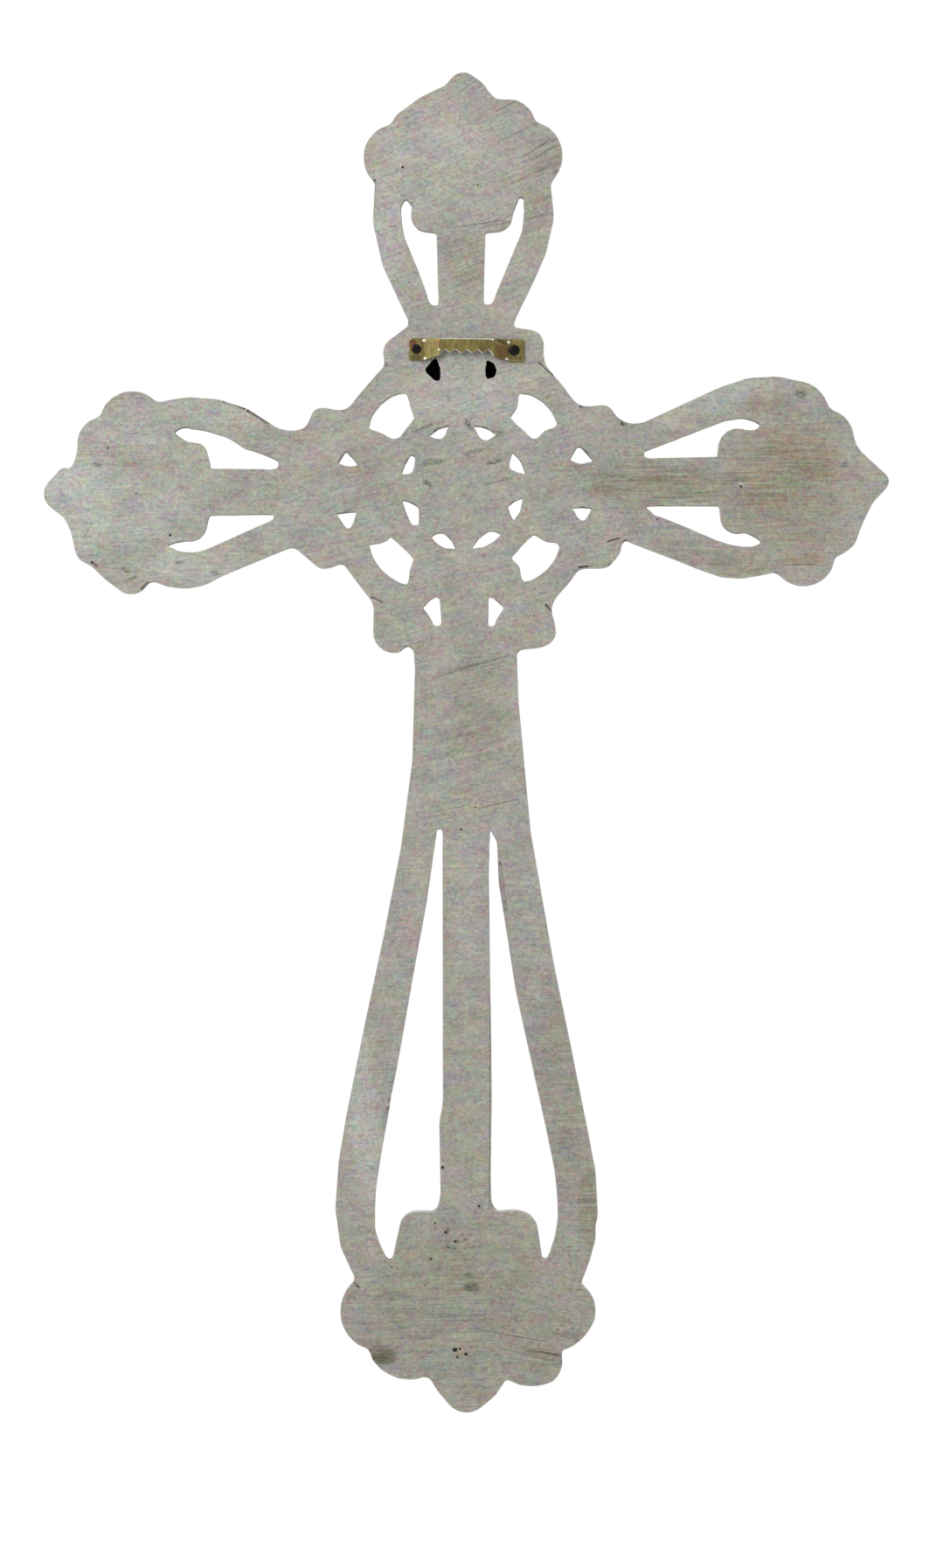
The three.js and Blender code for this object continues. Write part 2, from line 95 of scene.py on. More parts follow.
def cut_away(piece, tools, solver="MANIFOLD"):
    """Cuts these closed shapes out of the piece. The cut faces keep the tools' material numbers."""
    mesh = bpy.data.meshes.new("cutters")
    tools.to_mesh(mesh)
    tools.free()
    cutters = bpy.data.objects.new("cutters", mesh)
    scene.collection.objects.link(cutters)
    cut = piece.modifiers.new("cut", "BOOLEAN")
    cut.operation = "DIFFERENCE"
    cut.solver = solver
    cut.material_mode = "INDEX"
    cut.use_self = solver == "EXACT"
    cut.object = cutters
    finished(piece)
    bpy.data.objects.remove(cutters)
    bpy.data.meshes.remove(mesh)


def closed_rings(edges):
    """The closed rings that these edges make, each as its points in order."""
    beside = {}
    for edge in edges:
        for vert in edge.verts:
            beside.setdefault(vert, []).append(edge.other_vert(vert))
    rings = []
    while beside:
        ring = [next(iter(beside))]
        while ring[-1] in beside:
            ahead = [v for v in beside.pop(ring[-1]) if v in beside]
            if ahead:
                ring.append(ahead[0])
            else:
                break
        rings.append([v.co.copy() for v in ring])
    return rings


cast = bpy.data.objects.new("cast_cross_resin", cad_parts["cast_cross"].data.copy())
scene.collection.objects.link(cast)
form = bmesh.new()
form.from_mesh(cast.data)
bmesh.ops.remove_doubles(form, verts=form.verts, dist=MERGE)
for vert in form.verts:
    if vert.co.y > BACK - ON_BACK:
        vert.co.y += SPARE
form.normal_update()
flat_back = {f for f in form.faces if f.normal.y > STRAIGHT_OUT and f.calc_center_median().y > BACK}
rim_rings = closed_rings([e for e in form.edges if len(flat_back.intersection(e.link_faces)) == 1])
rim_rings.sort(key=lambda ring: max(p.x for p in ring) - min(p.x for p in ring))
sides = bvhtree.BVHTree.FromBMesh(form)
corners = []
for vert in form.verts:
    if vert.co.y > BACK and any(upright(e) and e.calc_face_angle(0) > CORNER_TURN for e in vert.link_edges):
        inward = -Vector((vert.normal.x, 0, vert.normal.z)).normalized()
        corners.append(vert.co + inward * RIM_SLOPE)
form.to_mesh(cast.data)
form.free()
cast.data.materials.clear()
skin = cast.modifiers.new("skin", "REMESH")
skin.mode = "VOXEL"
skin.voxel_size = SKIN
finished(cast)

# Carving of the front: a reeded bar and straps, creased leaves, and rope twist on the two rings.
# It was in the master that the mould was taken from, so it is soft. Its lengths are in millimetres.
CARVED_FROM = -6.5  # w; nothing nearer the back is carved
CARVED_FACING = 0.15  # nor what faces the front less than this
PETALS, PETAL_REACH, PETAL_GROOVE = 8, (7, 20), (0.35, 0.5)  # how many, from and to, depth and width
TWISTS = [(23.6, 2.6, 40, 1.4, 0.35), (42.6, 3.8, 56, 1.1, 0.45)]  # middle, half width, strands, slant, depth
BAR_START, LONG_BAR, SHORT_BAR, BAR_HALF = 47, 262, 100, 4.5
BAR_REED, BAR_GROOVE = 2.5, (0.55, 1.7)
STRAP_START, STRAP_HALF, STRAP_REED, STRAP_GROOVE = 50, 3.3, 1.6, (0.5, 1.6)
LEAF_CLEAR, LEAF_HALF, LEAF_GROOVE = 3, 2.2, (0.55, 1.8)
WAVES, DIMPLES = (0.10, 0.09), (0.06, 0.33)  # how high, and how many to the millimetre
STRAP_STEPS, LEAF_STEPS = 24, 60
SHORT_STRAP = [(53, 13), (70, 19), (86, 24.7), (103, 25.5)]
LONG_STRAP = [(60, 13), (115, 15.5), (150, 21), (190, 28.8), (216, 34), (240, 37.4), (262, 35.5)]
SHORT_LEAVES = [((102, 0), (138, 0)), ((107, 5), (127.5, 20)), ((103, 6), (113, 32))]
LONG_LEAVES = [((263, 0), (309, 0)), ((270, 6), (299, 24)), ((264, 9), (278, 40.5))]
# An arm is [turn from the top, strap, leaves, how much wider the strap is on each side].
ARMS = [(0, SHORT_STRAP, SHORT_LEAVES, (1, 0.98)), (90, SHORT_STRAP, SHORT_LEAVES, (1.1, 0.98)),
        (180, LONG_STRAP, LONG_LEAVES, (1, 0.97)), (270, SHORT_STRAP, SHORT_LEAVES, (1.12, 1))]


def curve_through(points, steps):
    """Points along a smooth curve through these."""
    ends = [2 * points[0] - points[1], *points, 2 * points[-1] - points[-2]]
    line = []
    for i in range(1, len(ends) - 2):
        a, b, c, d = ends[i - 1:i + 3]
        for k in range(steps):
            x = k / steps
            line.append(0.5 * (2 * b + (c - a) * x + (2 * a - 5 * b + 4 * c - d) * x * x
                               + (3 * b - a - 3 * c + d) * x ** 3))
    return line + [points[-1]]


def on_arm(turn, s, t):
    """A point of an arm, in (u, v), from its distance out along the arm and its distance across."""
    angle = math.radians(turn)
    return Vector((t * math.cos(angle) - s * math.sin(angle), t * math.sin(angle) + s * math.cos(angle)))


def tree_of(points):
    """These points, ready to be asked which is nearest."""
    tree = kdtree.KDTree(len(points))
    for n, point in enumerate(points):
        tree.insert(point, n)
    tree.balance()
    return tree


def groove(distance, deep_and_wide):
    """How deep a groove is at this distance from its middle. It fades out to its edges."""
    deep, wide = deep_and_wide
    x = min(1.0, abs(distance) / (wide / 2))
    return deep * (1 - x * x) ** 2


strap_lines, leaf_lines = [], []
for turn, strap, leaves, spread_out in ARMS:
    for side, wider in zip((-1, 1), spread_out):
        strap_lines += curve_through([on_arm(turn, s, side * t * wider) for s, t in strap], STRAP_STEPS)
        for n, (root, tip) in enumerate(leaves):
            reach = wider if n == 2 else 1
            ends = on_arm(turn, root[0], side * root[1]), on_arm(turn, tip[0], side * tip[1] * reach)
            leaf_lines += [ends[0].lerp(ends[1], k / LEAF_STEPS) for k in range(LEAF_STEPS + 1)]
strap_tree, leaf_tree = (tree_of([(p.x, p.y, 0) for p in lines]) for lines in (strap_lines, leaf_lines))


def carved(u, v):
    """How deep the carving is at this point of the front. A bar's reeds run over the straps and leaves."""
    radius, angle = math.hypot(u, v), math.atan2(v, u)
    cut = 0.0
    if PETAL_REACH[0] < radius < PETAL_REACH[1]:
        cut = groove(math.sin(PETALS / 2 * angle), PETAL_GROOVE)
    for middle, half, strands, slant, deep in TWISTS:
        if abs(radius - middle) < half:
            cut = deep * (0.5 + 0.5 * math.cos(strands * angle + (radius - middle) * slant))
    to_leaf, to_strap = leaf_tree.find((u, v, 0))[2], strap_tree.find((u, v, 0))[2]
    across, along = (abs(u), abs(v)) if abs(v) > abs(u) else (abs(v), abs(u))
    bar_end = LONG_BAR if v < -BAR_START else SHORT_BAR
    if BAR_START < along < bar_end and across < BAR_HALF:
        cut += groove(across - BAR_REED, BAR_GROOVE)
    elif radius > STRAP_START and to_strap < STRAP_HALF and to_leaf > LEAF_CLEAR:
        cut += groove(to_strap - STRAP_REED, STRAP_GROOVE)
    elif to_leaf < LEAF_HALF:
        cut += groove(to_leaf, LEAF_GROOVE)
    return cut


form = bmesh.new()
form.from_mesh(cast.data)
for _ in range(2):
    bmesh.ops.smooth_vert(form, verts=form.verts, factor=0.5, use_axis_x=True, use_axis_y=True,
                          use_axis_z=True)
form.normal_update()
for vert in form.verts:
    u, v, w = seen(vert.co)
    normal = vert.normal.copy()
    front = 0.0 if w > CARVED_FROM else max(0.0, -normal.y)
    cut = carved(u, v) if front > CARVED_FACING else 0.0
    place = Vector((u, v, w))
    uneven = (WAVES[0] * noise.noise(place * WAVES[1])
              + DIMPLES[0] * noise.noise(place * DIMPLES[1] + Vector((7, 3, 1))))
    vert.co += normal * (uneven - cut * front) / 1000

# Near the back the sides are as sharp as the mould's rim. The belt takes the spare off and leaves it flat.
STRAIGHT = 5  # millimetres below the back, down to which the sides are straight
LEANING = 0.9  # millimetres below the back, where they start to lean in
FADE = 2  # millimetres in which a change dies out
SIDEWAYS = 0.2  # a face turned less than this to the front or the back is a side
CORNER_REACH = 0.0008  # a rim point no further off than this is drawn into the corner


def below_back(vert):
    """How far below the sanded face a point lies, in millimetres."""
    return (BACK - vert.co.y) * 1000


for vert in form.verts:
    below = below_back(vert)
    if below < STRAIGHT:
        near, facing, _, _ = sides.find_nearest(vert.co)
        if abs(facing.y) < SIDEWAYS:
            slope = RIM_SLOPE * max(0.0, min(1.0, 1 - below / LEANING))
            vert.co = vert.co.lerp(near - facing * slope, min(1.0, (STRAIGHT - below) / FADE))
cut_line = bmesh.ops.bisect_plane(form, geom=form.verts[:] + form.edges[:] + form.faces[:], dist=1e-7,
                                  plane_co=(0, BACK, 0), plane_no=(0, 1, 0), clear_outer=True)
rim = [e for e in cut_line["geom_cut"] if isinstance(e, bmesh.types.BMEdge)]
rim_points = list({v for e in rim for v in e.verts})
rim_tree = tree_of([vert.co for vert in rim_points])
kept = set()
for corner in corners:
    corner.y = BACK
    _, n, far = rim_tree.find(corner)
    if far < CORNER_REACH:
        rim_points[n].co = corner
        kept.add(rim_points[n])

# The mould's edge runs in smooth curves between its sharp corners. Each pair of passes evens the rim out
# without shrinking it, and the sides below follow it.
EVENING_PASSES = 30
EVEN_OUT, SWELL_BACK = 0.5, -0.53
FOLLOWING = 6  # millimetres below the back, down to which the sides follow
ON_RIM = 0.001  # millimetres below the back, above which a point is of the rim itself
FOLLOW_REACH = 0.002
BLACK_HOLES, HOLE_DEPTHS = ((6, 16), (32, 44.5)), (-6.6, -0.4)  # from and to: u on either side, v, and w


def in_pair(u, v, pair):
    """Whether a point lies in one of a pair of holes that stand on either side of the middle."""
    (near, far), (low, high) = pair
    return near < abs(u) < far and low < v < high


before = [vert.co.copy() for vert in rim_points]
beside = {vert: [] for vert in rim_points}
for edge in rim:
    for vert in edge.verts:
        beside[vert].append(edge.other_vert(vert))
loose_rim = [vert for vert in rim_points if vert not in kept and len(beside[vert]) == 2]
for _ in range(EVENING_PASSES):
    for gain in (EVEN_OUT, SWELL_BACK):
        moves = [gain * ((beside[v][0].co + beside[v][1].co) / 2 - v.co) for v in loose_rim]
        for vert, move in zip(loose_rim, moves):
            vert.co += move
moved = [vert.co - old for vert, old in zip(rim_points, before)]
for vert in form.verts:
    below = below_back(vert)
    if ON_RIM < below < FOLLOWING:
        _, n, far = rim_tree.find((vert.co.x, BACK, vert.co.z))
        if far < FOLLOW_REACH:
            vert.co += moved[n] * min(1.0, (FOLLOWING - below) / FADE)
filled = bmesh.ops.triangle_fill(form, use_beauty=True, use_dissolve=False, edges=rim, normal=(0, 1, 0))
back = {f for f in filled["geom"] if isinstance(f, bmesh.types.BMFace)}
for face in form.faces:
    u, v, w = seen(face.calc_center_median())
    in_hole = in_pair(u, v, BLACK_HOLES) and HOLE_DEPTHS[0] < w < HOLE_DEPTHS[1]
    face.smooth = face not in back
    face.material_index = BARE if face in back else BLACK if in_hole else PAINTED
for edge in rim:
    if edge.is_valid:
        edge.smooth = False
bmesh.ops.recalc_face_normals(form, faces=form.faces)
form.to_mesh(cast.data)
form.free()

# The openings are cut clean to the mould's lines, with their corners sharp. Those that don't go through are
# the two screw holes and the two holes under the hanger, coloured black inside as a painted darkness.
BLIND = 0.0062
THROUGH = 0.030
ABOVE = 0.001  # how far a cutter stands out of the back
CLEAR = 0.995  # its size as a share of the opening's
SCREW_HOLES = ((14, 19), (44.5, 49))
openings = bmesh.new()
for ring in rim_rings[:-1]:
    middle = sum(ring, Vector()) / len(ring)
    u, v, _ = seen(middle)
    painted_dark_hole, screw_hole = in_pair(u, v, BLACK_HOLES), in_pair(u, v, SCREW_HOLES)
    face = openings.faces.new([openings.verts.new((p.x, BACK + ABOVE, p.z)) for p in ring])
    bmesh.ops.scale(openings, vec=(CLEAR, 1, CLEAR), verts=face.verts, space=Matrix.Translation(-middle))
    pulled = bmesh.ops.extrude_face_region(openings, geom=[face])
    far_end = [p for p in pulled["geom"] if isinstance(p, bmesh.types.BMVert)]
    reach = ABOVE + (BLIND if painted_dark_hole or screw_hole else THROUGH)
    bmesh.ops.translate(openings, vec=(0, -reach, 0), verts=far_end)
    for side in {f for p in far_end for f in p.link_faces}:
        side.material_index = BLACK if painted_dark_hole else PAINTED
    face.material_index = PAINTED
bmesh.ops.recalc_face_normals(openings, faces=openings.faces)
cut_away(cast, openings)

# Webs of resin stand lower than the sanded face in the notches, grey with paint, or dark as painted shade
# where they are narrow, and there are nicks from handling. Each is [u, v, length, width, depth, turn in
# degrees].
# Blowholes from air in the resin, and nibbles out of the edges, are [u, v, radius].
WEBS = [
    (-55.3, 20.2, 4.6, 2.0, 2.2, -12), (-40.5, 25.9, 2.2, 1.6, 1.8, -50), (-26.9, 41.3, 2.6, 1.2, 2.0, -45),
    (-19.9, 54.1, 3.6, 1.6, 1.8, 38), (-30.3, 101.5, 4.2, 1.2, 2.0, 88), (27.4, 39.6, 6.6, 0.5, 1.0, -42),
    (40.2, 27.0, 3.2, 1.3, 2.0, -10), (54.9, 21.2, 4.8, 2.2, 2.2, -14), (-29.5, -37.9, 4.4, 0.5, 1.0, -26),
    (50.2, -17.8, 4.6, 0.5, 0.9, 18), (28.3, -40.7, 3.4, 0.7, 1.2, -48), (12.5, -134.5, 17, 2.0, 2.4, -82),
    (-66.8, -24.3, 15, 1.0, 2.0, 23), (-31.2, -51.5, 6, 0.9, 1.6, -62), (40, -26.9, 3.4, 0.7, 1.2, 6),
    (-77.5, 27.4, 8, 0.7, 1.2, -20), (-69.5, 23.4, 9, 0.7, 1.2, -31), (-36.5, -268.2, 3.4, 0.8, 1.4, -48),
    (-124.6, -26.0, 3.0, 0.8, 1.2, -40), (-107.6, -33.2, 3.4, 0.8, 1.6, 48),
]
NICKS = [
    (-13.6, 19.7, 6.2, 0.95, 0.4, 22), (11.6, 18.7, 3.4, 0.45, 0.2, 12), (9.8, 8.0, 4.6, 0.45, 0.2, 12),
    (-12.2, 9.2, 3.2, 0.45, 0.2, 10), (-7.0, 8.7, 2.0, 0.45, 0.2, 12), (-12.6, 0.8, 3.4, 0.45, 0.2, -22),
    (0.8, 20.2, 2.6, 0.45, 0.2, -55), (8.3, 1.2, 4.4, 0.3, 0.2, 15), (2.0, -60.6, 27, 0.3, 0.2, 17),
    (11.5, -106.5, 14, 0.3, 0.2, 14), (23.5, 113.4, 10, 0.3, 0.2, 32), (26.5, 112.2, 9, 0.3, 0.2, 30),
    (14, 128, 8, 0.3, 0.2, 28), (1.0, 134.6, 7, 0.3, 0.2, 35), (29.5, 97.6, 6.5, 0.3, 0.2, 6),
    (3.5, 88.2, 20, 0.3, 0.2, 8), (14.4, -285.2, 26, 0.3, 0.2, -10), (24.7, -290.6, 13, 0.3, 0.2, -12),
    (-128.2, 10.8, 8, 0.25, 0.15, 0), (-126.5, -14.5, 6, 0.25, 0.15, 65), (110.5, -26.2, 15, 0.3, 0.2, 1),
]
BAR_STEP = (8.9, -207, 72, 1.1, 0.35, 89.7)  # where the belt dug in along the edge of the long bar
BLOWHOLES = [
    (-20.8, 107.5, 0.55), (4.5, 101.5, 0.3), (-120, 13, 0.4), (-110.5, -2.2, 0.35), (-99, -16.3, 0.5),
    (3.5, -107.8, 0.35), (-1.2, -115.2, 0.4), (-7.4, -229, 0.6), (5, -242, 0.5), (-10, -247.7, 0.4),
    (-3.3, -290.3, 0.9), (-1.5, -290, 0.5), (0.5, -291.7, 0.65), (-2.4, -292.7, 0.5), (93, 0, 0.5),
    (23.4, -43.4, 0.3), (-6.2, -250.8, 0.5), (-3, -253.9, 0.45), (0.2, -253.2, 0.3), (-5.4, -255.8, 0.3),
    (-11.3, -259.6, 0.4), (-24.5, -262.6, 0.35), (-13.5, -268.5, 0.3), (31.5, -283.5, 0.3),
]
NIBBLES = [
    (-25.2, -209.4, 1.2), (-25.0, -206.3, 0.9), (-24.4, -203.5, 0.8), (-24.0, -200.4, 0.6),
    (-18.3, -93, 0.8), (-18.5, -96.5, 0.8), (-17.2, -65.2, 0.8), (-17.0, -88.4, 0.6), (49.2, -26.6, 1.3),
    (51.3, -24.6, 1.1), (-30.6, -293.6, 1.5), (-29.2, -296.6, 1.2), (-31.8, -291.4, 1.1),
    (-86.4, -33.7, 0.9), (-76.5, -27.9, 0.9), (-69.5, -25.3, 0.7), (44.8, -249.3, 0.9), (-8.4, -217, 0.7),
    (16.0, -163, 0.6), (-62.8, 8.8, 0.5), (65.2, -10.9, 0.7), (104.8, -29.2, 0.8), (-134, 6.4, 0.6),
    (-17.6, 95.2, 0.6), (12.9, -141.4, 0.6),
]
NARROW_WEB = 1
ROUNDING, WIDEST_ROUNDED = 0.00035, 1.2  # a block's corner radius for each millimetre of its width
BURR_ROUGHNESS, BURR_TEETH = 0.45, 1400  # share of the radius, and teeth to the metre
BLOWHOLE_UP, NIBBLE_UP = -0.35, 0.15  # height of the burr's middle, as a share of its radius


def tool_block(tools, u, v, length, width, depth, turn, slot):
    """A block that cuts this far into the back, with its corners rounded."""
    high = 1.0
    sizes = Matrix.Diagonal((length, high + depth, width, 1))
    place = Matrix.Translation(at(u, v, (high - depth) / 2)) @ Matrix.Rotation(math.radians(turn), 4, "Y")
    scale = Matrix.Diagonal((0.001, 0.001, 0.001, 1))
    made = bmesh.ops.create_cube(tools, size=1, matrix=place @ scale @ sizes)
    uprights = [e for e in {e for vert in made["verts"] for e in vert.link_edges} if upright(e)]
    rounded = bmesh.ops.bevel(tools, geom=uprights, offset=ROUNDING * min(width, WIDEST_ROUNDED),
                              segments=2, profile=0.5, affect="EDGES", material=-1)
    block_faces = {f for vert in made["verts"] if vert.is_valid for f in vert.link_faces}
    for face in block_faces | set(rounded["faces"]):
        face.material_index = slot


def tool_burr(tools, u, v, w, radius, slot):
    """A round burr that takes a rough bite."""
    middle = at(u, v, w)
    made = bmesh.ops.create_icosphere(tools, subdivisions=2, radius=radius / 1000,
                                      matrix=Matrix.Translation(middle))
    for vert in made["verts"]:
        vert.co += (vert.co - middle) * BURR_ROUGHNESS * noise.noise(vert.co * BURR_TEETH)
        for face in vert.link_faces:
            face.material_index = slot


tools = bmesh.new()
for web in WEBS:
    # Narrow webs take the dark finish as painted shade, for their sides in shadow.
    tool_block(tools, *web, DARK_AND_SHADED if web[3] <= NARROW_WEB else PAINTED)
for nick in NICKS:
    tool_block(tools, *nick, DARK_AND_SHADED)
for u, v, radius in BLOWHOLES:
    tool_burr(tools, u, v, BLOWHOLE_UP * radius, radius, DARK_AND_SHADED)
for u, v, radius in NIBBLES:
    tool_burr(tools, u, v, NIBBLE_UP * radius, radius, BARE)
tool_block(tools, *BAR_STEP, BARE)
cut_away(cast, tools)

# The cuts leave crumbs, doubled faces and slits. These are cleaned away, and only the casting itself is kept.
# Its hollows and crests are then marked in numbers, since the grey wash lies in the hollows.
CRUMB, SLIVER = 4e-6, 2e-6
SLIT_SIDES = 12
form = bmesh.new()
form.from_mesh(cast.data)
bmesh.ops.remove_doubles(form, verts=form.verts, dist=CRUMB)
bmesh.ops.dissolve_degenerate(form, edges=form.edges, dist=SLIVER)
bmesh.ops.triangulate(form, faces=form.faces)
by_corners = {}
for face in form.faces:
    by_corners.setdefault(frozenset(face.verts), []).append(face)
doubled = [face for same in by_corners.values() if len(same) > 1 for face in same]
bmesh.ops.delete(form, geom=doubled, context="FACES")
slit_edges = [e for e in form.edges if e.is_boundary]
slits = bmesh.ops.holes_fill(form, edges=slit_edges, sides=SLIT_SIDES)["faces"]
for face in slits:
    face.material_index = PAINTED
bmesh.ops.triangulate(form, faces=slits)
unseen = set(form.verts)
islands = []
while unseen:
    island = {unseen.pop()}
    newest = list(island)
    while newest:
        reached = {e.other_vert(v) for v in newest for e in v.link_edges} - island
        island |= reached
        newest = list(reached)
    unseen -= island
    islands.append(island)
casting_itself = max(islands, key=len)
bmesh.ops.delete(form, geom=[v for v in form.verts if v not in casting_itself], context="VERTS")
form.normal_update()
hollow = form.verts.layers.float.new("hollow")
for vert in form.verts:
    around = [e.other_vert(vert).co for e in vert.link_edges]
    lean = sum(around, Vector()) / len(around) - vert.co
    vert[hollow] = lean.dot(vert.normal) * 1000
for _ in range(2):
    softer = [sum(e.other_vert(v)[hollow] for e in v.link_edges) / len(v.link_edges) for v in form.verts]
    for vert, value in zip(form.verts, softer):
        vert[hollow] = 0.5 * (vert[hollow] + value)
form.to_mesh(cast.data)
form.free()

# The sanded back: bare stone-filled resin, mottled, with the belt's lay across it at a slightly different
# slant on each end, since the cross was moved about by hand. Some of it is browner, where the belt burnished
# it, some is paler, and some low places hardly touched the belt.
SANDED = (0.350, 0.336, 0.297)
OLIVE = (0.69, 0.69, 0.58)
RUST = (0.81, 0.68, 0.50)
PALE = (1.20, 1.24, 1.28)
DULL = (0.97, 0.985, 0.94)
SCORED = (0.62, 0.56, 0.48)
SMUDGED = (0.36, 0.38, 0.36)
LAY = {"size": (15, 0.55), "detail": 4, "roughness": 0.62}
LAY_GAIN = (0.62, 0.16)  # how strongly it shows where the belt bit, and in the dull places
RUSTY_ARM, RUSTIER = (0.080, 0.100), (-0.10, 0.12)  # where, in metres, and by how much
# Where each end begins and where its own lay is all there, in metres, and the lay's slant in degrees
MIDDLE_SLANT = 13
TOP, TOP_SLANT = (0.052, 0.066), 21
ARM_OUT, ARM_HIGH, ARM_SLANT = (0.042, 0.052), (0.060, 0.050), 1
FOOT, FOOT_SLANT = (-0.108, -0.130), 1
CORNER_LOW, CORNER_OUT, CORNER_SLANT = (-0.255, -0.272), (0.002, 0.022), -9
# A patch is [u, v, half length, half width, turn in degrees, amount].
BROWN_PATCHES = [
    (66, 1.5, 37, 10, -4, 1.0), (108, 2, 26, 26, 0, 0.85), (84, -24, 22, 6.5, -10, 0.6),
    (115, -24.5, 10, 2.4, 0, 1.0), (0, -276, 46, 36, 0, 0.6), (33, -205, 10, 46, 6, 0.55),
    (42.3, -245, 4.5, 24, 4, 1.0), (28, -293, 13, 6, -10, 0.9), (30, -283, 14, 7, -8, 0.5),
    (28, 112, 8, 11, 0, 0.7), (23, 92, 6, 16, 0, 0.45), (0, 75, 9, 15, 0, 0.7), (4, -76, 13, 28, 0, 0.6),
    (-110, 9.5, 19, 5.5, 0, 0.65), (-28, -292.8, 6.5, 5, 0, 1.0), (-25.5, -228, 3, 18, 6, 0.4),
    (-34, 8, 12, 7, 0, 0.35), (98, 4, 14, 7, 0, 1.0), (100, 28, 12, 4, 6, 0.5), (128, 0, 9, 10, 0, 0.4),
]
PALE_PATCHES = [
    (-130, -6, 14, 24, 0, 1.0), (-112, 2, 28, 28, 0, 0.45), (85, 30, 24, 7, 18, 0.75),
    (-26, 85, 7, 20, 0, 0.6), (-92, -27, 20, 7, -4, 0.8), (0, 32, 30, 13, 0, 0.6),
    (-10, 112, 24, 20, 0, 0.5), (-33, 48, 10, 10, 0, 0.4), (-34.5, -208, 7, 42, 6, 1.0),
    (29, 55, 12, 9, 0, 0.4), (-85, 25, 18, 6, -14, 0.5), (93, 0, 1.6, 1.2, 0, 1.0),
    (84, 1, 9, 0.9, -16, 0.8), (74, -5.7, 16, 0.7, 0, 0.9), (0, -140, 7, 26, 0, 0.3),
    (33, -283, 2.6, 0.7, -4, 0.8),
]
DULL_PATCHES = [
    (0, -212, 9, 42, 0, 1.0), (0, -262, 30, 20, 0, 0.8), (-84, 1, 34, 7, 0, 0.6), (0, 2, 34, 22, 0, 0.25),
    (0, -50, 24, 14, 0, 0.3), (14, -276, 22, 14, 0, 0.4),
]
GREY_MARKS = [
    (2.3, -269.1, 3.1, 2.0, -4, 1.0), (1.5, -265.1, 2.0, 1.3, -24, 0.9), (113, 31.2, 3.2, 1.6, 0, 0.9),
    (-6.1, -250.7, 2.0, 0.9, 40, 0.9), (-2.8, -253.8, 1.6, 1.0, 0, 0.9), (0.1, -253.3, 1.8, 0.7, 25, 0.8),
    (-4.5, -255.9, 2.4, 0.8, -10, 0.8), (-11.4, -259.7, 1.5, 1.1, 40, 0.7), (5.0, -241.8, 1.5, 1.3, 0, 0.7),
    (-96, -25.5, 1.9, 0.9, 20, 0.9), (-114, -28, 2.2, 0.9, -20, 0.9), (-112, -31, 2.6, 0.8, 30, 0.9),
    (-84, -29, 1.8, 0.8, -15, 0.9), (-124, 7.5, 2.0, 0.8, 0, 0.8), (128, 7.5, 2.2, 1.2, 0, 0.8),
    (-11, 8.2, 4.6, 1.2, 8, 0.85), (10, 8.4, 3.6, 0.9, 12, 0.8), (3.2, 11.8, 4.6, 0.9, 14, 0.8),
    (-12.5, 1.2, 2.8, 1.0, -28, 0.8), (1.5, 20.8, 2.8, 0.9, -60, 0.8), (10.6, 17.6, 3.4, 0.9, 18, 0.8),
    (14, 2.6, 3.2, 0.8, 14, 0.7), (-23, -281, 5, 0.5, -8, 0.35), (-28.4, -293.4, 2.2, 1.6, 10, 0.5),
]
LONG_MARKS = [
    (25, 106, 15, 0.6, 23, 0.9), (22, 121, 15, 0.5, 24, 0.7), (20, 90, 20, 0.6, 11, 0.7),
    (2, -60, 16, 0.6, 17, 0.6), (25, -291, 14, 0.6, -10, 0.9), (38, -270, 8, 0.5, -3, 0.7),
    (68, 2, 28, 1.0, 1, 0.5), (41, -240, 4.5, 1.0, -2, 0.6), (-27.4, -292.4, 6, 4, 10, 1.0),
]


def feed(tree, node, values):
    """Sets a node's inputs to numbers, or joins them to other nodes' outputs."""
    for socket, value in values.items():
        if isinstance(value, bpy.types.NodeSocket):
            tree.links.new(value, node.inputs[socket])
        else:
            node.inputs[socket].default_value = value


def put(tree, kind, values=None, **settings):
    """A node with these settings and inputs."""
    made = tree.nodes.new("ShaderNode" + kind)
    for name, value in settings.items():
        setattr(made, name, value)
    feed(tree, made, values or {})
    return made


def reckoned(tree, how, first, second):
    """The outcome of a sum with two numbers."""
    return put(tree, "Math", {0: first, 1: second}, operation=how).outputs[0]


def spread(tree, value, low, high, to_low=0.0, to_high=1.0):
    """Stretches a value from one range to another, softly, and stops at the ends."""
    stretched = put(tree, "MapRange", {0: value, 1: low, 2: high, 3: to_low, 4: to_high},
                    interpolation_type="SMOOTHSTEP")
    return stretched.outputs[0]


def shifted(tree, colour, gain):
    """A noise colour made to swing about zero by this gain."""
    swing = put(tree, "VectorMath", {0: colour, 1: (gain,) * 3, 2: (-0.5 * gain,) * 3},
                operation="MULTIPLY_ADD")
    return swing.outputs[0]


def added(tree, first, second):
    return put(tree, "VectorMath", {0: first, 1: second}, operation="ADD").outputs[0]


def times(tree, first, second):
    return put(tree, "VectorMath", {0: first, 1: second}, operation="MULTIPLY").outputs[0]


def tinted(tree, share, first, second, blend="MIX"):
    """The first colour turned into the second, or multiplied by it, where the share is 1."""
    first, second = (c if isinstance(c, bpy.types.NodeSocket) else (*c, 1) for c in (first, second))
    return put(tree, "Mix", {0: share, 6: first, 7: second}, data_type="RGBA", blend_type=blend).outputs[2]


def channel(tree, colour, n=0):
    """One of the three numbers of a colour."""
    return put(tree, "SeparateColor", {0: colour}).outputs[n]


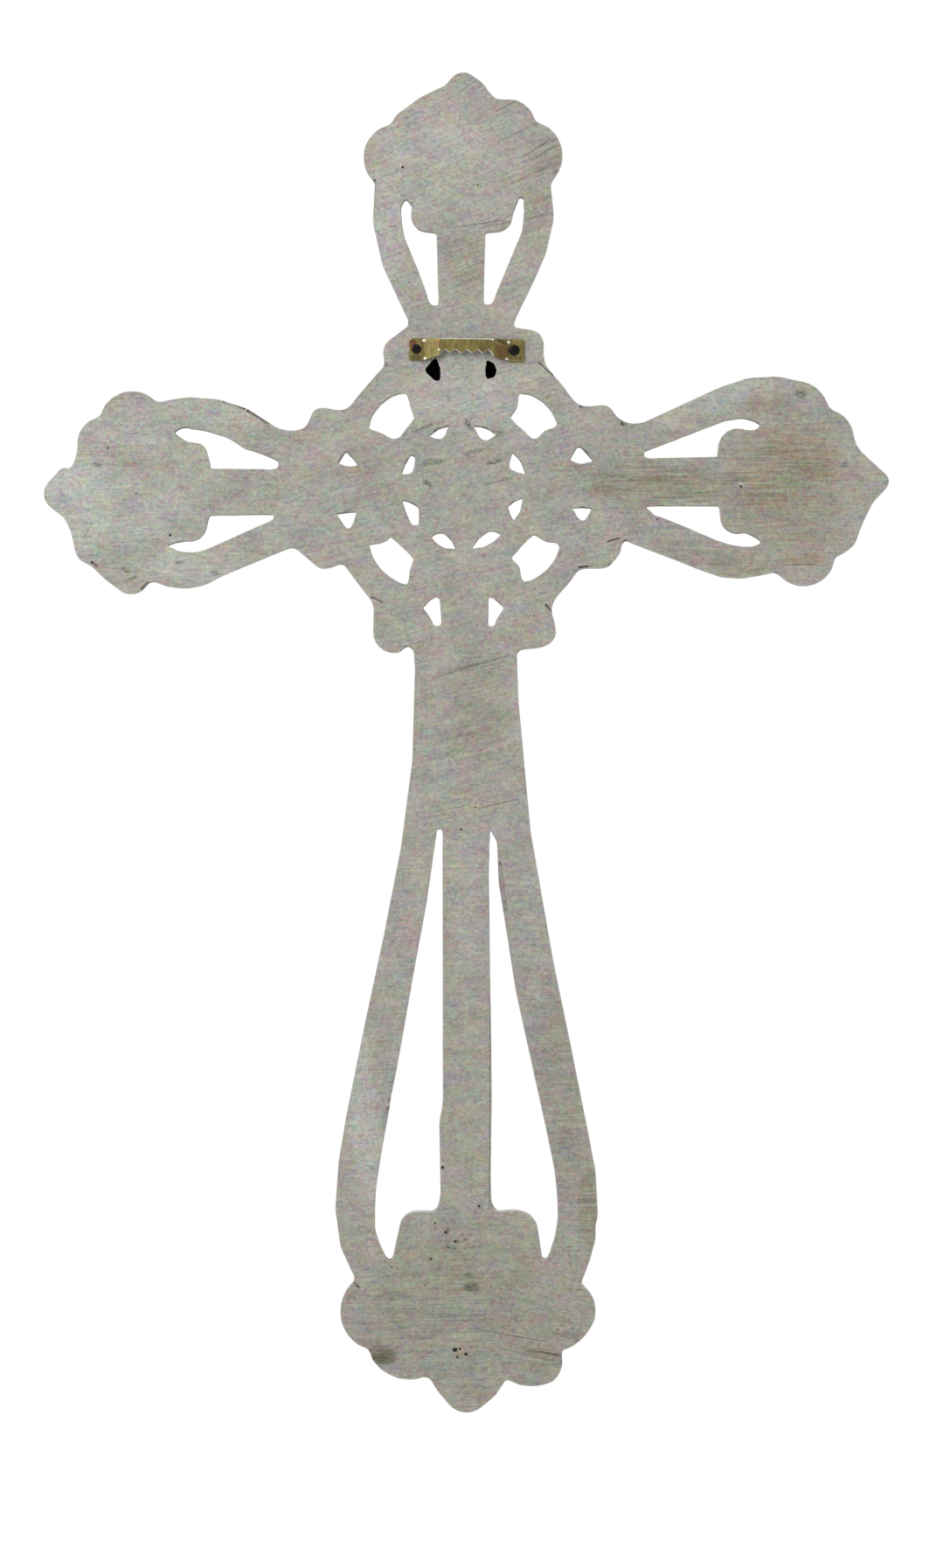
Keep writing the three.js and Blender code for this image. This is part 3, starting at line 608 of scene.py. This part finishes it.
def grains(tree, place, size, detail=2.0, turn=0.0, roughness=0.55):
    """Noise with grains of this size in millimetres, (along, across) the lay, which is turned from level."""
    along, across = (x / 1000 for x in size)
    laid = put(tree, "Mapping", {0: place, 2: (0, math.radians(turn), 0), 3: (along, across, across)},
               vector_type="TEXTURE")
    noise_node = put(tree, "TexNoise", {"Vector": laid.outputs[0], "Scale": 1.0, "Detail": detail,
                                        "Roughness": roughness})
    return noise_node.outputs["Color"]


def patches(tree, place, rows, margin=1.15, full=0.65):
    """1 in the middle of each patch and 0 outside it, fading from its full part to a margin round it."""
    total = None
    for u, v, half_length, half_width, turn, amount in rows:
        blot = put(tree, "TexGradient", {0: place}, gradient_type="SPHERICAL")
        blot.texture_mapping.vector_type = "TEXTURE"
        blot.texture_mapping.translation = at(u, v)
        blot.texture_mapping.rotation = (0, math.radians(turn), 0)
        blot.texture_mapping.scale = (margin * half_length / 1000, 1, margin * half_width / 1000)
        shown = spread(tree, blot.outputs["Fac"], 0, full, 0, amount)
        total = shown if total is None else reckoned(tree, "MAXIMUM", total, shown)
    return total


def bumped(tree, height, strength, deep):
    """The surface's slopes, roughened by this height."""
    return put(tree, "Bump", {"Height": height, "Strength": strength, "Distance": deep}).outputs[0]


def finish_named(name):
    """A new finish, with its nodes and its shader."""
    material = bpy.data.materials.new(name)
    material.use_nodes = True
    tree = material.node_tree
    return material, tree, tree.nodes["Principled BSDF"]


sanded, tree, shader = finish_named("sanded_resin")
place = put(tree, "TexCoord").outputs["Object"]
loose_place = added(tree, place, shifted(tree, grains(tree, place, size=(9, 9)), gain=0.007))
tight_place = added(tree, place, shifted(tree, grains(tree, place, size=(1.6, 1.6)), gain=0.0008))
spot = put(tree, "SeparateXYZ", {0: loose_place})
u_metres = reckoned(tree, "SUBTRACT", HANGER_U / 1000, spot.outputs["X"])
v_metres = reckoned(tree, "ADD", spot.outputs["Z"], HANGER_V / 1000)
out_u = put(tree, "Math", {0: u_metres}, operation="ABSOLUTE").outputs[0]
out_v = put(tree, "Math", {0: v_metres}, operation="ABSOLUTE").outputs[0]
is_top = spread(tree, v_metres, *TOP)
is_arm = reckoned(tree, "MULTIPLY", spread(tree, out_u, *ARM_OUT), spread(tree, out_v, *ARM_HIGH))
is_foot = spread(tree, v_metres, *FOOT)
is_corner = reckoned(tree, "MULTIPLY", spread(tree, v_metres, *CORNER_LOW),
                     spread(tree, u_metres, *CORNER_OUT))
lay = grains(tree, place, turn=MIDDLE_SLANT, **LAY)
for share, turn in ((is_top, TOP_SLANT), (is_arm, ARM_SLANT), (is_foot, FOOT_SLANT),
                    (is_corner, CORNER_SLANT)):
    lay = tinted(tree, share, lay, grains(tree, place, turn=turn, **LAY))
dull = patches(tree, loose_place, DULL_PATCHES)
lay_gain = spread(tree, dull, 0, 1, *LAY_GAIN)
lay_tone = put(tree, "SeparateColor", {0: lay})
streak = reckoned(tree, "MULTIPLY", reckoned(tree, "SUBTRACT", lay_tone.outputs[0], 0.5), lay_gain)

# It is mottled in colour and in lightness, from clouds 12 mm across down to specks of less than a millimetre.
tint = shifted(tree, lay, gain=0.20)
mottle = added(tree, shifted(tree, grains(tree, place, size=(6.5, 4.5)), gain=0.40),
               shifted(tree, grains(tree, place, size=(2.0, 1.5), detail=1), gain=0.36))
speck = shifted(tree, grains(tree, place, size=(0.85, 0.7), detail=1), gain=0.52)
crumb = channel(tree, shifted(tree, grains(tree, place, size=(1.5, 0.9), detail=3, roughness=0.7), gain=0.80))
cloud = channel(tree, shifted(tree, grains(tree, place, size=(12, 8)), gain=0.38))
grit = reckoned(tree, "MULTIPLY", channel(tree, speck, 1), 0.8)
light = reckoned(tree, "ADD", reckoned(tree, "ADD", reckoned(tree, "ADD", crumb, grit), cloud), streak)
tone = added(tree, added(tree, mottle, speck), added(tree, tint, (1, 1, 1)))
colour = times(tree, added(tree, tone, light), SANDED)

# Over this lie the stains, rustier on the right arm, the pale and dull zones, the scratches and the smudges.
browned = patches(tree, loose_place, BROWN_PATCHES)
browned = reckoned(tree, "MULTIPLY", browned, spread(tree, lay_tone.outputs[1], 0.62, 0.36, 0.25, 1.1))
stain = channel(tree, grains(tree, place, size=(9, 5)), 1)
stain = reckoned(tree, "ADD", stain, spread(tree, u_metres, *RUSTY_ARM, *RUSTIER))
stain = tinted(tree, spread(tree, stain, 0.46, 0.62), OLIVE, RUST)
colour = tinted(tree, browned, colour, stain, "MULTIPLY")
colour = tinted(tree, patches(tree, loose_place, PALE_PATCHES), colour, PALE, "MULTIPLY")
colour = tinted(tree, dull, colour, DULL, "MULTIPLY")
scratch = spread(tree, lay_tone.outputs[2], 0.40, 0.27, 0.0, 0.55)
broken = spread(tree, lay_tone.outputs[2], 0.66, 0.42)
long_scratch = reckoned(tree, "MULTIPLY", patches(tree, tight_place, LONG_MARKS), broken)
scratch = reckoned(tree, "MULTIPLY", scratch, spread(tree, dull, 0.2, 0.8, 1.0, 0.3))
colour = tinted(tree, reckoned(tree, "MAXIMUM", long_scratch, scratch), colour, SCORED, "MULTIPLY")
crumbled = spread(tree, crumb, 0.10, -0.14, 0.45, 1.1)
smudge = reckoned(tree, "MULTIPLY", patches(tree, tight_place, GREY_MARKS), crumbled)
colour = tinted(tree, smudge, colour, SMUDGED, "MULTIPLY")
height = reckoned(tree, "ADD", streak, channel(tree, speck))
feed(tree, shader, {"Base Color": colour, "Roughness": 0.82, "Specular IOR Level": 0.3,
                    "Normal": bumped(tree, height, strength=0.25, deep=0.0002)})

# The moulded skin: thin pale grey paint with a darker grey wash left in the hollows of the carving, and the
# resin showing paler through it along the crests.
PAINT = (0.365, 0.36, 0.335)
WASH = (0.34, 0.33, 0.30)
RUBBED = (1.45, 1.42, 1.34)
painted, tree, shader = finish_named("grey_paint")
place = put(tree, "TexCoord").outputs["Object"]
depth = put(tree, "Attribute", attribute_name="hollow").outputs["Fac"]
cloud = channel(tree, grains(tree, place, size=(11, 11), detail=3))
fleck = shifted(tree, grains(tree, place, size=(0.9, 0.9)), gain=0.16)
blotch = shifted(tree, grains(tree, place, size=(7, 7)), gain=0.16)
colour = times(tree, added(tree, added(tree, fleck, blotch), (1, 1, 1)), PAINT)
wet = reckoned(tree, "ADD", depth, spread(tree, cloud, 0.3, 0.7, -0.02, 0.02))
colour = tinted(tree, spread(tree, wet, 0.0, 0.08), colour, WASH, "MULTIPLY")
colour = tinted(tree, spread(tree, depth, -0.01, -0.09), colour, RUBBED, "MULTIPLY")
feed(tree, shader, {"Base Color": colour, "Roughness": 0.78, "Specular IOR Level": 0.35,
                    "Normal": bumped(tree, channel(tree, fleck), strength=0.25, deep=0.0003)})

# Broken resin in the blowholes and nicks is coloured dark, and on the narrow webs the same dark is painted
# shade.
# The two holes under the hanger are black.
DARK_RESIN_AND_SHADE = (0.12, 0.105, 0.08)
# The near-black is a painted darkness in the two holes under the hanger, for the dark seen through them.
PAINTED_DARKNESS = (0.007, 0.008, 0.006)
dark_and_shaded, tree, shader = finish_named("dark_resin_and_painted_shade")
place = put(tree, "TexCoord").outputs["Object"]
uneven = added(tree, shifted(tree, grains(tree, place, size=(0.8, 0.8)), gain=0.5), (1, 1, 1))
feed(tree, shader, {"Base Color": times(tree, uneven, DARK_RESIN_AND_SHADE), "Roughness": 0.9})
black, tree, shader = finish_named("painted_dark_hole")
place = put(tree, "TexCoord").outputs["Object"]
uneven = added(tree, shifted(tree, grains(tree, place, size=(1.2, 1.2)), gain=0.6), (1, 1, 1))
feed(tree, shader, {"Base Color": times(tree, uneven, PAINTED_DARKNESS), "Roughness": 1.0, "Specular IOR Level": 0.1})

# The cuts left some empty places in the casting's list of finishes, so each finish goes in by its number.
for n, finish in ((BARE, sanded), (PAINTED, painted), (DARK_AND_SHADED, dark_and_shaded), (BLACK, black)):
    if n < len(cast.data.materials):
        cast.data.materials[n] = finish
    else:
        cast.data.materials.append(finish)
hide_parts("cast_cross")
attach(cast, "root")

# The hanger: one strip of thin steel, stamped with teeth, bent up in the middle and brass-plated.
# A screw through each end holds it, and the nail in the wall sits in one of its notches.
STRIP_EDGE = 0.00026
EDGE_TURN, FLAT_TURN = math.radians(30), math.radians(1)
FACING = 0.2  # a face turned at least this much to a side faces it
TURNED = -0.0122  # how much it falls for each millimetre along, since it was screwed on a little crooked
RAISED_HALF, UPPER_EDGE, LOWER_EDGE = 9.4, 1.5, -1.6  # of the raised middle, in millimetres
PLATED, GLINT_EDGE, SHADED_EDGE = range(3)


def on_strip(along, v):
    """A point on the strip, in (u, v), from its distances from the middle of the raised face."""
    return HANGER_U + along, HANGER_V + v + along * TURNED


strip = bpy.data.objects.new("sawtooth_hanger_plated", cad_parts["sawtooth_hanger"].data.copy())
scene.collection.objects.link(strip)
strip.data.materials.clear()
form = bmesh.new()
form.from_mesh(strip.data)
bmesh.ops.remove_doubles(form, verts=form.verts, dist=MERGE)
bmesh.ops.dissolve_limit(form, angle_limit=FLAT_TURN, verts=form.verts, edges=form.edges)
for face in form.faces:
    face.material_index = PLATED
    face.smooth = False
form.normal_update()
outer = [e for e in form.edges if e.calc_face_angle(0) > EDGE_TURN]
rounded = bmesh.ops.bevel(form, geom=outer, offset=STRIP_EDGE, offset_type="OFFSET", segments=2, profile=0.5,
                          affect="EDGES", clamp_overlap=True, material=-1)
form.normal_update()
# The rounded top edges and the teeth's flanks facing one way are cut steel given a painted glint; the other
# flanks get a darker copy, painted shade.
for face in rounded["faces"]:
    middle = face.calc_center_median()
    along, v = -1000 * middle.x, 1000 * middle.z
    facing_back = face.normal.y > FACING
    on_top = v - along * TURNED > UPPER_EDGE and abs(along) < RAISED_HALF
    on_tooth = v < LOWER_EDGE and abs(along) < RAISED_HALF
    if facing_back and (on_top or (on_tooth and face.normal.x > FACING)):
        face.material_index = GLINT_EDGE
    elif facing_back and on_tooth:
        face.material_index = SHADED_EDGE
bmesh.ops.triangulate(form, faces=form.faces)
form.to_mesh(strip.data)
form.free()

# Brass plating, cloudy where it was handled, with painted highlights, reddish and dark painted reflections
# and shade, and painted glint spots on the corners by the bends. A patch is [along, v, half length, half
# width, turn in degrees, amount].
BRASS = (0.25, 0.21, 0.075)
PAINTED_HIGHLIGHT = (0.40, 0.33, 0.15)
PAINTED_RED_REFLECTION = (0.20, 0.095, 0.05)
PAINTED_DARK_REFLECTION = (0.11, 0.09, 0.04)
# Bright cut steel with a painted glint, and a darker copy of it for painted shade.
BRIGHT_STEEL_AND_GLINT = (1.0, 0.98, 0.86)
STEEL_IN_PAINTED_SHADE = (0.42, 0.40, 0.30)
BEND = 14.1
RED_REFLECTION_PATCHES = [(-18.2, 0.2, 1.9, 1.8, 0, 1.0), (-9.8, 0.2, 1.3, 1.5, 0, 0.6), (-13.2, 0.2, 1.5, 1.2, 0, 0.35),
               (12.1, -2.3, 2.8, 3.6, 0, 0.7)]
DARK_REFLECTION_PATCHES = [(-12.0, -1.8, 3.4, 4.6, 0, 0.55), (6.4, -0.2, 3.6, 2.4, 20, 0.45),
                (-16.8, -4.6, 3, 1.2, 0, 0.7), (12.0, 0.9, 2.6, 0.7, -18, 0.8),
                (-14.9, -1.5, 0.7, 3.0, 0, 0.5), (16.6, -4.4, 3.2, 0.8, 0, 0.6),
                (14.2, -3, 0.6, 2.6, 0, 0.5)]
HIGHLIGHT_PATCHES = [(16.5, -2.5, 2.1, 2.1, 0, 0.6), (10.9, 0.2, 2.2, 0.4, -28, 1.0),
                 (-16.3, -2.5, 1.7, 1.6, 0, 0.4)]
GLINT_SPOTS = [(-BEND - 0.3, 1.15, 0.6, 0.55, 0, 1.0), (BEND, 0.9, 0.6, 0.6, 0, 1.0),
         (-BEND, -4.85, 0.5, 0.45, 0, 1.0), (BEND - 0.6, -4.8, 0.6, 0.5, 0, 1.0),
         (-9.2, -2.0, 0.4, 0.4, 0, 1.0), (8.8, 1.6, 0.4, 0.35, 0, 1.0), (-18.9, 1.5, 0.35, 0.35, 0, 0.6)]
plated, tree, shader = finish_named("brass_plate_and_painted_reflections")
place = put(tree, "TexCoord").outputs["Object"]
grain = put(tree, "SeparateColor", {0: grains(tree, place, size=(5, 0.5), detail=3, turn=86)})
shade = spread(tree, grain.outputs[0], 0.32, 0.68, 0.72, 1.3)
cloudy = spread(tree, channel(tree, grains(tree, place, size=(3, 3), detail=3)), 0.3, 0.7, 0.85, 1.15)
colour = times(tree, BRASS, reckoned(tree, "MULTIPLY", shade, cloudy))
# These patches paint highlights, reflections and shade into the plate's colour.
for rows, painted_reflection in ((HIGHLIGHT_PATCHES, PAINTED_HIGHLIGHT), (RED_REFLECTION_PATCHES, PAINTED_RED_REFLECTION), (DARK_REFLECTION_PATCHES, PAINTED_DARK_REFLECTION),
                   (GLINT_SPOTS, BRIGHT_STEEL_AND_GLINT)):
    on_face = [(*on_strip(along, v), *shape) for along, v, *shape in rows]
    colour = tinted(tree, patches(tree, place, on_face), colour, painted_reflection)
feed(tree, shader, {"Base Color": colour, "Metallic": 1.0,
                    "Roughness": spread(tree, grain.outputs[1], 0.3, 0.7, 0.3, 0.46),
                    "Normal": bumped(tree, grain.outputs[0], strength=0.2, deep=0.0001)})
strip.data.materials.append(plated)
# A lit and a shaded copy of the stamped edge: painted glint and painted shade.
for name, steel in (("stamped_edge_painted_glint", BRIGHT_STEEL_AND_GLINT), ("stamped_edge_painted_shade", STEEL_IN_PAINTED_SHADE)):
    stamped, tree, shader = finish_named(name)
    place = put(tree, "TexCoord").outputs["Object"]
    wear = spread(tree, channel(tree, grains(tree, place, size=(1.2, 1.2))), 0.3, 0.7, 0.8, 1.05)
    feed(tree, shader, {"Base Color": times(tree, steel, wear), "Metallic": 0.4, "Roughness": 0.35})
    strip.data.materials.append(stamped)
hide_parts("sawtooth_hanger")
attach(strip, "root")

# The screws: two short steel screws with low round heads and a cross recess, blacked, driven into the resin.
# They hold the ends of the hanger. The right head is made a little larger, so its black rim is a painted
# shadow for the dark ring round it.
# A screw is turned to [radius, w] from its tip to the top of its head. The recess is [length, width, depth].
SCREW_SHAPE = [(0, -5.7), (0.4, -5.0), (0.85, -4.2), (0.85, 1.3), (1.62, 1.3), (1.7, 1.42), (1.62, 1.72),
               (1.38, 1.95), (1.0, 2.08), (0.5, 2.14), (0, 2.15)]
RECESS = (2.0, 0.42, 0.5)
SCREWS = {"left": (-16.9, -1.8, 20, 0.96), "right": (16.0, -1.8, 50, 1.1)}  # along, v, turn, size
INK, SOFT_BLACK = (0.006, 0.005, 0.005), (0.020, 0.012, 0.010)
blacked, tree, shader = finish_named("blacked_steel")
place = put(tree, "TexCoord").outputs["Object"]
patchy = channel(tree, grains(tree, place, size=(0.9, 0.9), detail=3))
feed(tree, shader, {"Base Color": tinted(tree, spread(tree, patchy, 0.4, 0.65), INK, SOFT_BLACK),
                    "Specular IOR Level": 0.15, "Roughness": spread(tree, patchy, 0.35, 0.65, 0.38, 0.6)})
for side, (along, v, turn, size) in SCREWS.items():
    form = bmesh.new()
    profile = [form.verts.new((size * r / 1000, 0, w / 1000)) for r, w in SCREW_SHAPE]
    line = [form.edges.new(pair) for pair in zip(profile, profile[1:])]
    bmesh.ops.spin(form, geom=profile + line, axis=(0, 0, 1), cent=(0, 0, 0), steps=32, angle=math.tau,
                   use_merge=True, use_duplicate=False)
    bmesh.ops.remove_doubles(form, verts=form.verts, dist=MERGE)
    bmesh.ops.recalc_face_normals(form, faces=form.faces)
    body = bpy.data.objects.new(f"hanger_screw_{side}_blacked", bpy.data.meshes.new(f"hanger_screw_{side}"))
    scene.collection.objects.link(body)
    for face in form.faces:
        face.smooth = True
    form.to_mesh(body.data)
    form.free()
    cutter = bmesh.new()
    length, width, deep = RECESS
    high = 1.0
    sizes = Matrix.Diagonal((length / 1000, width / 1000, high / 1000, 1))
    floor_of_recess = SCREW_SHAPE[-1][1] - deep
    for quarter in (0, 90):
        turned = Matrix.Rotation(math.radians(turn + quarter), 4, "Z")
        lifted = Matrix.Translation((0, 0, (floor_of_recess + high / 2) / 1000))
        bmesh.ops.create_cube(cutter, size=1, matrix=lifted @ turned @ sizes)
    cut_away(body, cutter, "EXACT")
    place_of_screw = Matrix.Translation(at(*on_strip(along, v)))
    body.data.transform(place_of_screw @ Matrix.Rotation(math.radians(-90), 4, "X"))
    body.data.materials.clear()
    body.data.materials.append(blacked)
    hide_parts(f"hanger_screw_{side}")
    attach(body, "root")

# The studio: a white ground, soft light from the camera's side, and the camera square on to the back.
FLOOR_Z, FLOOR_RADIUS = -0.75, 1.6
floor_mesh = bpy.data.meshes.new("floor")
floor = bpy.data.objects.new("floor", floor_mesh)
scene.collection.objects.link(floor)
ground = bmesh.new()
bmesh.ops.create_circle(ground, cap_ends=True, segments=96, radius=FLOOR_RADIUS,
                        matrix=Matrix.Translation((0, 0, FLOOR_Z)))
ground.to_mesh(floor_mesh)
ground.free()
pale, tree, shader = finish_named("pale_floor")
feed(tree, shader, {"Base Color": (0.8, 0.8, 0.8, 1)})
floor_mesh.materials.append(pale)
floor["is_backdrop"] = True

world = bpy.data.worlds.new("studio")
world.use_nodes = True
sky = world.node_tree
soft_white = sky.nodes["Background"]
feed(sky, soft_white, {"Color": (1, 1, 1, 1), "Strength": 0.6})
ground_white = put(sky, "Background", {"Color": (1, 1, 1, 1), "Strength": 1.0})
shown = put(sky, "MixShader", {0: put(sky, "LightPath").outputs["Is Camera Ray"],
                               1: soft_white.outputs[0], 2: ground_white.outputs[0]})
sky.links.new(shown.outputs[0], sky.nodes["World Output"].inputs["Surface"])
scene.world = world
scene.view_settings.view_transform = "Standard"


def lamp(name, place, aim, size, power):
    """A flat lamp of this size that is aimed at a point."""
    light = bpy.data.lights.new(name, "AREA")
    light.shape = "RECTANGLE"
    light.size, light.size_y = size
    light.energy = power
    stand = bpy.data.objects.new(name, light)
    stand.location = place
    stand.rotation_euler = (Vector(aim) - Vector(place)).to_track_quat("-Z", "Y").to_euler()
    scene.collection.objects.link(stand)


lamp("soft_light", place=(0.62, 0.85, 0.55), aim=(0.05, 0, -0.05), size=(0.7, 0.7), power=9.5)
lamp("front_light", place=(-0.7, -1.3, 1.0), aim=(0, 0, -0.1), size=(1.0, 1.0), power=16)

PHOTO_WIDE, PHOTO_HIGH = 1071, 1794  # pixels
ROSETTE_ACROSS, ROSETTE_DOWN = 531.5, 557  # its middle in the photograph, in pixels
MM_PER_PX = 0.294
eye = bpy.data.cameras.new("camera")
eye.lens = 120
eye.sensor_fit = "VERTICAL"
eye.sensor_height = 36
eye.clip_end = 50
camera = bpy.data.objects.new("camera", eye)
middle = at((PHOTO_WIDE / 2 - ROSETTE_ACROSS) * MM_PER_PX, (ROSETTE_DOWN - PHOTO_HIGH / 2) * MM_PER_PX)
distance = eye.lens / eye.sensor_height * PHOTO_HIGH * MM_PER_PX / 1000
camera.location = middle + Vector((0, distance, 0))
camera.rotation_euler = (math.pi / 2, 0, math.pi)
scene.collection.objects.link(camera)
scene.camera = camera

low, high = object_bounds()
